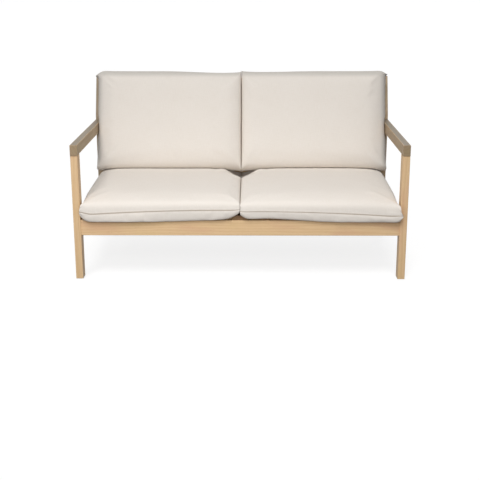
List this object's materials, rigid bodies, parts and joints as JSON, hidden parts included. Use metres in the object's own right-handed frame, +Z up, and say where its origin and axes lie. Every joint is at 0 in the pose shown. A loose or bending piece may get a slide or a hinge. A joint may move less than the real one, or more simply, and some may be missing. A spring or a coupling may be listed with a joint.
{
  "type": "patio loveseat",
  "caption": "Low open-frame wooden patio loveseat with square arms, slatted seat and back, and loose knife-edge seat and back cushions.",
  "frame": {"origin": "on the floor, under the middle of the overall box", "axes": "+Z up, -Y towards the front of the seat, +X to the right as seen from the front"},
  "size_m": [1.283, 0.761, 0.7411],
  "materials": {
    "frame_wood": "oiled, pale teak tone",
    "slat_wood": "oiled, pale teak tone",
    "dowel_wood": "bare beech",
    "cushion_fabric": "plain woven, cream",
    "cushion_foam": "open-cell foam",
    "glide_plastic": "moulded nylon",
    "zinc_steel": "zinc plated"
  },
  "bodies": {
    "frame": {"arm_dowels": "dowel_wood", "arm_left": "frame_wood", "arm_right": "frame_wood", "back_slat_1": "frame_wood", "back_slat_2": "frame_wood", "back_slat_3": "frame_wood", "back_slat_4": "frame_wood", "back_slat_5": "frame_wood", "back_stile": "frame_wood", "barrel_nuts": "zinc_steel", "bolt_washers": "zinc_steel", "front_glide_left": "glide_plastic", "front_glide_right": "glide_plastic", "front_leg_left": "frame_wood", "front_leg_right": "frame_wood", "front_rail": "frame_wood", "rail_bolts": "zinc_steel", "rear_glide_left": "glide_plastic", "rear_glide_right": "glide_plastic", "rear_post_left": "frame_wood", "rear_post_right": "frame_wood", "rear_rail": "frame_wood", "seat_bearer_1": "frame_wood", "seat_bearer_2": "frame_wood", "seat_slat_01": "slat_wood", "seat_slat_02": "slat_wood", "seat_slat_03": "slat_wood", "seat_slat_04": "slat_wood", "seat_slat_05": "slat_wood", "seat_slat_06": "slat_wood", "seat_slat_07": "slat_wood", "seat_slat_08": "slat_wood", "seat_slat_09": "slat_wood", "seat_slat_10": "slat_wood", "seat_slat_11": "slat_wood", "seat_slat_12": "slat_wood", "seat_slat_13": "slat_wood", "seat_slat_14": "slat_wood", "seat_slat_15": "slat_wood", "side_rail_left": "frame_wood", "side_rail_right": "frame_wood", "slat_screws": "zinc_steel", "stile_screws": "zinc_steel"},
    "seat_cushion_left": {"seat_cushion_cover_left": "cushion_fabric", "seat_cushion_foam_left": "cushion_foam"},
    "back_cushion_left": {"back_cushion_cover_left": "cushion_fabric", "back_cushion_foam_left": "cushion_foam"},
    "seat_cushion_right": {"seat_cushion_cover_right": "cushion_fabric", "seat_cushion_foam_right": "cushion_foam"},
    "back_cushion_right": {"back_cushion_cover_right": "cushion_fabric", "back_cushion_foam_right": "cushion_foam"}
  },
  "joints": [
    {"name": "seat_cushion_left_slide", "type": "slide", "parent": "frame", "child": "seat_cushion_left", "axis": [0, -1, 0], "range_m": [0, 0.66]},
    {"name": "back_cushion_left_lift", "type": "slide", "parent": "frame", "child": "back_cushion_left", "axis": [0, 0.3543, 0.9351], "range_m": [0, 0.48]},
    {"name": "seat_cushion_right_slide", "type": "slide", "parent": "frame", "child": "seat_cushion_right", "axis": [0, -1, 0], "range_m": [0, 0.66]},
    {"name": "back_cushion_right_lift", "type": "slide", "parent": "frame", "child": "back_cushion_right", "axis": [0, 0.3543, 0.9351], "range_m": [0, 0.48]}
  ]
}
